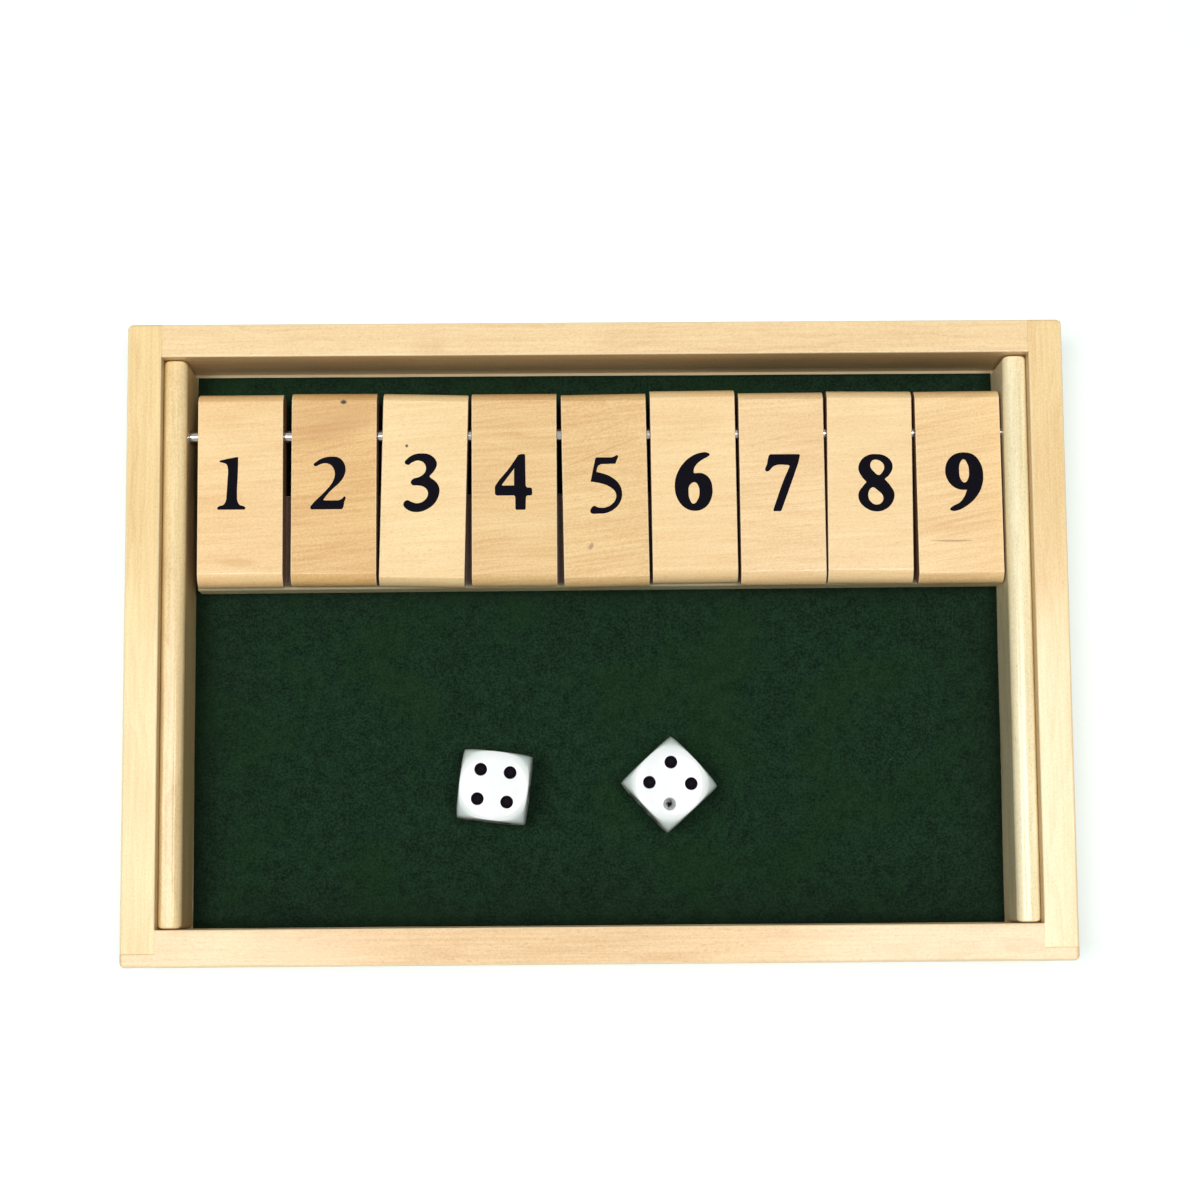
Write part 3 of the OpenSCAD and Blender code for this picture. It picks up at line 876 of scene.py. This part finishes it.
# Outlines in mm from the tile's middle and the foot line. A third value, 0, marks a sharp corner.
figures = {
    1: [[(-4.85, 12.12), (-3.6, 12.68), (-2.3, 12.95), (-1, 13.22, 0), (-0.4, 13.2, 0), (-0.45, 9.5),
         (-0.6, 4.2), (-0.5, 3), (0, 2.1), (0.95, 1.75), (1.35, 1.35), (1.15, 0.85, 0), (-5.1, 0.85, 0),
         (-5.3, 1.25), (-4.9, 1.75), (-3.8, 2.15), (-3.3, 3), (-3.15, 4.5), (-2.95, 8), (-2.9, 10.4),
         (-3.25, 11.45), (-4.3, 11.85)]],
    2: [[(-4.75, 11.2), (-3.9, 12.15), (-2.6, 12.85), (-0.6, 13.2), (1.1, 12.95), (2.3, 11.8),
         (2.75, 10.1), (2.3, 8.35), (1.3, 6.95), (0.1, 5.85), (-1, 4.8), (-2.35, 3.1, 0), (-2.1, 3, 0),
         (1, 3, 0), (1.75, 3.3), (2.45, 3.9), (2.75, 3.7), (2.5, 2.6), (2.15, 1.1), (1.9, 0.78, 0),
         (-5.2, 0.78, 0), (-5.5, 1.2), (-4.9, 2.25), (-2.9, 4.25), (-1.3, 5.95), (-0.25, 7.5), (0.12, 9),
         (-0.1, 10.2), (-0.9, 11.2), (-2.2, 11.5), (-3.3, 11.2), (-4.3, 10.85)]],
    3: [[(-4.75, 11.6), (-4.2, 12.5), (-2.7, 13.5), (-0.7, 13.82), (1.2, 13.45), (2.5, 12.3), (2.8, 11.1),
         (2.3, 9.8), (1.15, 8.45, 0), (1.2, 8.2, 0), (2.6, 7.1), (3.35, 5.7), (3.3, 4.2), (2.4, 2.2),
         (0.6, 0.7), (-1.8, 0), (-4.1, 0.6), (-5.05, 1.9), (-4.2, 2.92), (-3, 2.5), (-1.9, 2.2),
         (-0.5, 2.6), (0.5, 3.8), (0.5, 5), (-0.4, 5.9), (-1.7, 6.2), (-2.9, 6.3), (-3.35, 7),
         (-2.8, 7.85), (-1.4, 8.3), (-0.2, 9.2), (0.15, 10.3), (-0.3, 11.45), (-1.6, 12), (-2.9, 11.6),
         (-3.9, 11)]],
    4: [[(0.9, 13.3, 0), (1.7, 13.52, 0), (2.4, 13.5, 0), (2.62, 13.2, 0), (2.7, 6.15, 0),
         (2.95, 5.72, 0), (3.9, 5.65, 0), (4.15, 5.35, 0), (4.22, 4.1, 0), (3.95, 3.72, 0), (3, 3.68, 0),
         (2.75, 3.4, 0), (2.68, 0.7, 0), (2.4, 0.38, 0), (0.45, 0.38, 0), (0.18, 0.7, 0), (0.15, 3.45, 0),
         (-0.1, 3.72, 0), (-3.95, 3.72, 0), (-4.4, 3.98), (-4.52, 4.9), (-4.5, 5.85), (-4.15, 6.55),
         (-1.3, 10.1)],
        [(0.02, 10.2, 0), (0.02, 6.05, 0), (-2.75, 6.05, 0), (-2.9, 6.35, 0)]],
    5: [[(-2.1, 12.35, 0), (-1.8, 12.62, 0), (1.7, 12.6, 0), (2.3, 12.8), (2.85, 13.1), (3.25, 12.95),
         (3, 11.9), (2.65, 10.98, 0), (-0.7, 10.88, 0), (-1.35, 10.45), (-1.72, 9.2, 0), (-0.8, 9),
         (1.6, 8.05), (3.4, 6.45), (4.15, 4.3), (3.75, 2.2), (2.4, 0.5), (0.4, -0.5), (-1.5, -0.65),
         (-3.1, -0.5), (-3.35, 0), (-2.95, 0.95), (-2.35, 1.3), (-1.4, 0.95), (0.2, 0.95), (1.7, 1.7),
         (2.6, 3.1), (2.45, 4.4), (1.2, 5.6), (-0.6, 6.35), (-3.25, 6.85, 0)]],
    6: [[(3.75, 13.05), (3.2, 13.45), (1.9, 13.45), (0, 12.8), (-2, 11.25), (-3.6, 8.8), (-4.25, 5.9),
         (-3.75, 3), (-2.1, 0.8), (0.3, 0), (2.6, 0.75), (4, 2.8), (4.3, 5.2), (3.6, 7.5), (2.1, 8.6),
         (0.35, 8.65, 0), (0, 8.75, 0), (0.15, 9.9), (1, 11.1), (2.3, 12.05), (3.4, 12.65)],
        [(0.35, 6.65), (1.15, 5.8), (1.42, 4.3), (1.05, 2.6), (-0.1, 1.55), (-0.95, 2.6), (-1.22, 4.3),
         (-0.95, 5.9)]],
    7: [[(-2.98, 12.75), (-2.7, 13.08, 0), (4, 13.08, 0), (4.3, 12.8, 0), (3.95, 11.2), (3.1, 8.75),
         (1, 3), (-0.1, 0.05, 0), (-0.35, -0.35, 0), (-2, -0.35, 0), (-2.2, 0, 0), (-1.5, 2.05),
         (0.35, 7.1), (1.2, 9), (1.72, 10.2, 0), (1.5, 10.4, 0), (-1.2, 10.4), (-2.1, 9.95), (-2.9, 9.1),
         (-3.6, 8.95), (-3.92, 9.3), (-3.5, 10.7)]],
    8: [[(1.5, 12.97), (3.5, 12.55), (5, 11.1), (5.2, 9.5), (4.4, 7.95), (3.4, 7.05, 0), (4.6, 5.6),
         (5.55, 3.7), (4.9, 1.3), (3.1, -0.2), (1.1, -0.55), (-1, 0.15), (-2.7, 2), (-2.8, 4),
         (-1.9, 5.35), (-1, 6.4, 0), (-2, 7.55), (-2.8, 9.5), (-2.1, 11.55), (-0.4, 12.75)],
        [(1.3, 11.65), (2.8, 11), (3.3, 9.9), (2.85, 8.65), (1.95, 7.95), (0.8, 8.75), (-0.02, 10.1),
         (0.4, 11.35)],
        [(0.6, 5.2), (1.6, 4.55), (2.9, 3.1), (2.7, 1.75), (1.35, 1.05), (0, 1.7), (-0.62, 3.2),
         (-0.15, 4.8)]],
    9: [[(1.5, 13.22), (3.6, 12.6), (5.1, 10.7), (5.7, 8.1), (5.3, 5.1), (3.9, 2.6), (1.6, 0.55),
         (-0.7, -0.5), (-1.8, -0.5), (-2.28, -0.1), (-1.7, 0.6), (0.1, 1.6), (1.2, 3.1), (1.7, 4.35, 0),
         (0.3, 4.4), (-1.4, 5.15), (-2.8, 6.95), (-3.2, 8.9), (-2.6, 11.2), (-1, 12.75)],
        [(1.15, 11.6), (2.05, 10.6), (2.42, 8.8), (2.15, 6.9), (1.3, 6.05), (0.4, 6.8), (0.03, 8.7),
         (0.35, 10.85)]],
}


def drawn_outline(nodes):
    """Closed curve through the nodes. Each span is a cubic Bezier; at a smooth node both handles lie along
    the mean of the two span directions, and at a corner they lie along the spans. The curve is then drawn
    in by the shrink along its normals."""
    at = np.array([node[:2] for node in nodes], float)
    smooth = np.array([len(node) == 2 for node in nodes])[:, None]
    span = np.roll(at, -1, axis=0) - at
    length = np.linalg.norm(span, axis=1, keepdims=True)
    mean = span / length + np.roll(span / length, 1, axis=0)
    mean /= np.linalg.norm(mean, axis=1, keepdims=True)
    leave = at + np.where(smooth, mean * length * handle, span / 3)
    arrive = at - np.where(smooth, mean * np.roll(length, 1, axis=0) * handle, np.roll(span, 1, axis=0) / 3)
    t = (np.arange(span_steps) / span_steps)[:, None]
    curve = ((1 - t) ** 3 * at[:, None] + 3 * t * (1 - t) ** 2 * leave[:, None]
             + 3 * t ** 2 * (1 - t) * np.roll(arrive, -1, axis=0)[:, None]
             + t ** 3 * np.roll(at, -1, axis=0)[:, None]).reshape(-1, 2)
    tangent = np.roll(curve, -1, axis=0) - np.roll(curve, 1, axis=0)
    tangent /= np.linalg.norm(tangent, axis=1, keepdims=True)
    return curve + ink_shrink * tangent @ [[0, -1], [1, 0]]


def ink_film(name, outlines, x, top):
    """A thin closed film over the outlines, the first of which is the outside and the others its holes: its
    two faces are filled with triangles, and a narrow wall joins them round each outline."""
    flat = np.concatenate(outlines) * MM + [x, foot_y]
    fill = np.array(tessellate_polygon([[(*point, 0) for point in outline] for outline in outlines]))
    upper = np.column_stack([flat, np.full(len(flat), top + ink_t - ink_bite)])
    lower = upper - [0, 0, ink_t]
    faces = fill.tolist() + (fill[:, ::-1] + len(flat)).tolist()
    first = 0
    for outline in outlines:
        rim = first + np.arange(len(outline))
        beside = np.roll(rim, -1)
        faces += np.stack([rim, beside, beside + len(flat), rim + len(flat)], -1).tolist()
        first += len(outline)
    return to_mesh(name, np.concatenate([upper, lower]), faces)


def printing_ink(name):
    """Blue-black ink, satin, a little thinner and browner in patches, with fine pinholes."""
    def layers(tree):
        place = object_place(tree)
        patches = ramp(tree, noise(tree, place, (0.5, 0.9, 0.5), 4, 0.65), 0.35, 0.7)
        pinholes = ramp(tree, noise(tree, place, (2.4, 6, 2.4), 1, 0.5), 0.75, 0.8)
        film = blend(tree, patches, color(8, 6, 15), color(13, 10, 20))
        return {"Base Color": cover(tree, film, pinholes, 0.35, color(150, 120, 92)),
                "Roughness": sums(tree, "MULTIPLY_ADD", patches, 0.15, 0.5),
                "Normal": relief(tree, patches, 0.3, 0.02)}
    return finish_material(name, layers, Specular_IOR_Level=0.03)


number_ink = printing_ink("number_ink")
for number, (node, centre_x, top) in enumerate(tiles, start=1):
    film = ink_film(f"number_{number}", [drawn_outline(nodes) for nodes in figures[number]], centre_x, top)
    film.data.materials.append(number_ink)
    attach(film, node)


# ---- Dice -------------------------------------------------------------------------------
# Two moulded dice of white plastic, tumbled until a ball's curve has taken off their corners
# and edges. The pips are pressed hollows filled with black paint; one on the right die has
# lost most of its paint.

die_low, die_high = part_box("die_left")
die_s = die_high.z - die_low.z
die_ball_r = 11.4 * MM      # radius of the ball that rounds the corners
die_soften = 0.5 * MM       # width over which a flat face passes into the ball
die_cells = 84              # cells along each side of a face
pip_r = 1.45 * MM
pip_depth = 0.6 * MM
pip_step = 3.35 * MM        # distance from a pip to the middle row
pip_sides = 28
pip_clear = 0.04 * MM       # how much narrower the hollow is than its paint, which hides its rim
paint_t = 0.05 * MM
reflection_fade = 1.2 * MM      # depth that tumbling has taken off where the cool green tint, a painted reflection of the felt, is full

# Pips on each face, and the directions of its right and top edge
die_faces = ((4, (1, 0, 0), (0, 1, 0)), (3, (1, 0, 0), (0, -1, 0)), (1, (0, 0, -1), (0, 1, 0)),
             (6, (0, 0, 1), (0, 1, 0)), (2, (1, 0, 0), (0, 0, 1)), (5, (1, 0, 0), (0, 0, -1)))


def pip_spots(count):
    """Centres of the pips on a face in steps from its middle: pairs on one diagonal, then the other, then
    the middle row, and a centre pip on odd faces."""
    spots = []
    if count > 1:
        spots += [(-1, -1), (1, 1)]
    if count > 3:
        spots += [(-1, 1), (1, -1)]
    if count == 6:
        spots += [(-1, 0), (1, 0)]
    if count % 2:
        spots += [(0, 0)]
    return np.array(spots, float) * pip_step


def turned(points, at, degrees):
    """Points turned about the upright and moved so that their origin comes to at."""
    angle = math.radians(degrees)
    cosine = math.cos(angle)
    sine = math.sin(angle)
    return points @ np.array([[cosine, sine, 0], [-sine, cosine, 0], [0, 0, 1]]) + np.array(at)


def die_body(name, at, degrees):
    """Six grids over the faces of a cube. A point lies in its direction at the lesser of the cube's and the
    ball's distance, which pass into each other softly, and sinks by depth (1 - (d / r)^2) within a pip."""
    side = np.tan(np.linspace(-1, 1, die_cells + 1) * np.pi / 4)
    a, b = np.meshgrid(side, side, indexing="ij")
    stretch = np.sqrt(1 + a ** 2 + b ** 2)
    cube = die_s / 2 * stretch
    gap = (cube - die_ball_r) / die_soften
    reach = np.minimum(die_ball_r - die_soften * np.logaddexp(0, -gap), cube)
    points = []
    faces = []
    cells = grid_cells(np.arange(a.size).reshape(a.shape))
    for count, right, up in die_faces:
        out = np.cross(right, up)
        u = reach * a / stretch
        v = reach * b / stretch
        w = reach / stretch
        for spot in pip_spots(count):
            share = ((u - spot[0]) ** 2 + (v - spot[1]) ** 2) / (pip_r - pip_clear) ** 2
            w = w - pip_depth * np.clip(1 - share, 0, None)
        points.append((u[..., None] * right + v[..., None] * up + w[..., None] * out).reshape(-1, 3))
        faces += (cells + a.size * (len(points) - 1)).tolist()
    # Share of the painted reflection of the green felt: it grows with the depth that the ball's rounding has
    # taken off.
    tumbled = np.clip((cube - reach) / reflection_fade, 0, 1).ravel()
    return to_mesh(name, turned(np.concatenate(points), at, degrees), faces,
                   tumbled=np.tile(tumbled, len(die_faces)))


def pip_paint(name, at, degrees, wear):
    """The paint in all the hollows: each is a shallow bowl, z = depth ((d / r)^2 - 1) under the face, closed
    by a second one a film's thickness below. The attribute rim runs from 0 in the middle of a pip to 1 at
    its rim, and worn is the share of paint that a pip on the top face has lost."""
    rings = np.array([0, 0.25, 0.5, 0.72, 0.88, 1, 0.97, 0.8, 0.5, 0.2, 0])[:, None]
    sunk = np.array([0, 0, 0, 0, 0, 0, 1, 1, 1, 1, 1])[:, None] * paint_t
    around = np.linspace(0, 2 * np.pi, pip_sides, endpoint=False)[None, :]
    u = pip_r * rings * np.cos(around)
    v = pip_r * rings * np.sin(around)
    w = pip_depth * (rings ** 2 - 1) + paint_t * 0.6 - sunk + 0 * around
    cells = around_cells(np.arange(u.size).reshape(u.shape))
    points = []
    faces = []
    worn = []
    for count, right, up in die_faces:
        out = np.cross(right, up)
        for spot in pip_spots(count):
            bowl = ((u + spot[0])[..., None] * right + (v + spot[1])[..., None] * up
                    + (w + die_s / 2)[..., None] * out)
            faces += (cells + u.size * len(points)).tolist()
            points.append(bowl.reshape(-1, 3))
            worn.append(np.full(u.size, wear.get(tuple(np.sign(spot)), 0) if out[2] > 0 else 0.0))
    rim = np.tile((rings + 0 * around).ravel(), len(points))
    return to_mesh(name, turned(np.concatenate(points), at, degrees), faces,
                   worn=np.concatenate(worn), rim=rim)


def die_plastic(name):
    """White plastic, glossy, with light scuffs that dull it in places, and a cool green tint on its rounded
    corners and edges that is a painted reflection of the felt.
    """
    def layers(tree):
        place = object_place(tree)
        cloud = noise(tree, place, 0.25, 3, 0.5)
        smooth = blend(tree, cloud, color(242, 248, 246), color(250, 252, 251))
        scuffs = ramp(tree, noise(tree, place, (2.5, 0.6, 1.4), 5, 0.7), 0.5, 0.75)
        return {"Base Color": blend(tree, attribute(tree, "tumbled"), smooth, color(234, 250, 244)),
                "Roughness": sums(tree, "MULTIPLY_ADD", scuffs, 0.2, 0.16),
                "Normal": relief(tree, scuffs, 0.12, 0.02)}
    return finish_material(name, layers, Subsurface_Weight=0.15, Subsurface_Scale=1.0,
                           Subsurface_Radius=(0.9 * MM, 0.9 * MM, 0.8 * MM))


def pip_black(name):
    """Black paint, nearly matt. Wear lays a pip bare from its rim inwards: grey plastic shows there, and the
    paint that is left in the middle has a ragged edge."""
    def layers(tree):
        patches = noise(tree, object_place(tree), 1.6, 4, 0.6)
        paint = blend(tree, patches, color(6, 3, 8), color(20, 12, 22))
        plastic = blend(tree, patches, color(112, 116, 118), color(214, 218, 218))
        wear = sums(tree, "MULTIPLY_ADD", attribute(tree, "rim"), 0.7, attribute(tree, "worn"))
        bared = ramp(tree, sums(tree, "MULTIPLY_ADD", patches, 0.7, wear), 1.5, 1.95)
        return {"Base Color": blend(tree, bared, paint, plastic),
                "Roughness": sums(tree, "MULTIPLY_ADD", patches, 0.2, 0.5)}
    return finish_material(name, layers, Specular_IOR_Level=0.05)


white = die_plastic("die_white")
black = pip_black("pip_black")
# Each die: its turn on the felt in degrees, and which pips on its top have lost paint, and what share
for node, degrees, wear in (("die_left", -6.9, {}), ("die_right", 42.7, {(-1, -1): 1.0, (-1, 1): 0.55})):
    low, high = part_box(node)
    at = (low + high) / 2
    die = die_body(node + "_cube", at, degrees)
    die.data.materials.append(white)
    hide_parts(node)
    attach(die, node)
    pips = pip_paint(node + "_pips", at, degrees, wear)
    pips.data.materials.append(black)
    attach(pips, node)


# ---- Studio -----------------------------------------------------------------------------
# A white table top, a softbox on either side of the camera and a faint even light from the room.
# The table is nearly plain white, so that the box stands on clean ground with a faint shadow.

floor_half = 4.0
floor_z = -0.03 * MM        # a hair below the box, so that the two surfaces don't coincide
white_share = 0.35          # how much of the table's white doesn't depend on the lamps
plain_white = (0.88, 1.0, 0.95, 1)      # its colour, a little cyan
plain_strength = 1.45       # and its brightness
far_white = (0.35, 1.1)     # m from the box over which the table top passes into the white of the room
room_glow = 0.08            # strength of the room's even light
lamp_y = -0.085             # both softboxes hang over this line, a little in front of the box,
lamp_z = 2.0                # at this height
lamp_depth = 0.63           # and are this deep
pure_white = (1, 1, 1, 1)


def seen_plain(tree):
    """Output that is 1 on rays from the camera, direct, mirrored or through glass, and 0 on lighting rays."""
    path = put(tree, "LightPath").outputs
    return sums(tree, "MAXIMUM", path["Is Camera Ray"],
                sums(tree, "MAXIMUM", path["Is Glossy Ray"], path["Is Transmission Ray"]))


def table_white(name):
    """White table top. What the camera sees of it, direct or mirrored, is mostly plain white, so that only a
    faint shadow of the box is left on it, and far from the box it is as white as the room."""
    material = bpy.data.materials.new(name)
    material.use_nodes = True
    tree = material.node_tree
    tree.nodes.clear()
    lit = put(tree, "BsdfDiffuse", {"Color": color(246, 249, 249)}).outputs[0]
    plain = put(tree, "Emission", {"Color": plain_white, "Strength": plain_strength}).outputs[0]
    seen = seen_plain(tree)
    share = sums(tree, "MULTIPLY", seen, white_share)
    near = put(tree, "MixShader", {0: share, 1: lit, 2: plain}).outputs[0]
    away = vectors(tree, "LENGTH", put(tree, "TexCoord").outputs["Object"])
    far = sums(tree, "MULTIPLY", seen, ramp(tree, away, *far_white))
    white = put(tree, "Emission", {"Color": pure_white, "Strength": 1.0}).outputs[0]
    put(tree, "OutputMaterial", {"Surface": put(tree, "MixShader", {0: far, 1: near, 2: white}).outputs[0]})
    return material


floor_mesh = bpy.data.meshes.new("table_top")
floor_corners = [(x * floor_half, y * floor_half, floor_z) for x, y in ((-1, -1), (1, -1), (1, 1), (-1, 1))]
floor_mesh.from_pydata(floor_corners, [], [(0, 1, 2, 3)])
floor = add_object("table_top", floor_mesh)
floor.data.materials.append(table_white("table_white"))

room = bpy.data.worlds.new("room")
room.use_nodes = True
room_tree = room.node_tree
room_light = room_tree.nodes["Background"].inputs
room_strength = ramp(room_tree, seen_plain(room_tree), 0.0, 1.0, room_glow, 1.0)
room_tree.links.new(room_strength, room_light["Strength"])
room_light["Color"].default_value = pure_white
bpy.context.scene.world = room

# Each softbox: how far it hangs to the right, its width and its power. Both face the middle of the box.
for name, x, wide, energy in (("left_softbox", -0.55, 0.66, 23.2), ("right_softbox", 0.37, 0.32, 15.5)):
    softbox = bpy.data.lights.new(name, "AREA")
    softbox.shape = "RECTANGLE"
    softbox.size = wide
    softbox.size_y = lamp_depth
    softbox.energy = energy
    softbox.color = pure_white[:3]
    lamp = add_object(name, softbox)
    lamp.location = (x, lamp_y, lamp_z)
    lamp.rotation_euler = (math.atan2(-lamp_y, lamp_z), math.atan2(x, lamp_z), 0)

# The camera stands over the front of the box and looks down at it, 78 mm of lens on a 36 mm frame
camera = add_object("camera", bpy.data.cameras.new("camera"))
camera.data.lens = 78.018
camera.data.sensor_width = 36
camera.data.clip_start = 0.01
camera.location = (-0.004673, -0.061217, 0.609611)
camera.rotation_euler = (0.119, -0.008, -0.008)
bpy.context.scene.camera = camera
bpy.context.scene.view_settings.view_transform = "Standard"
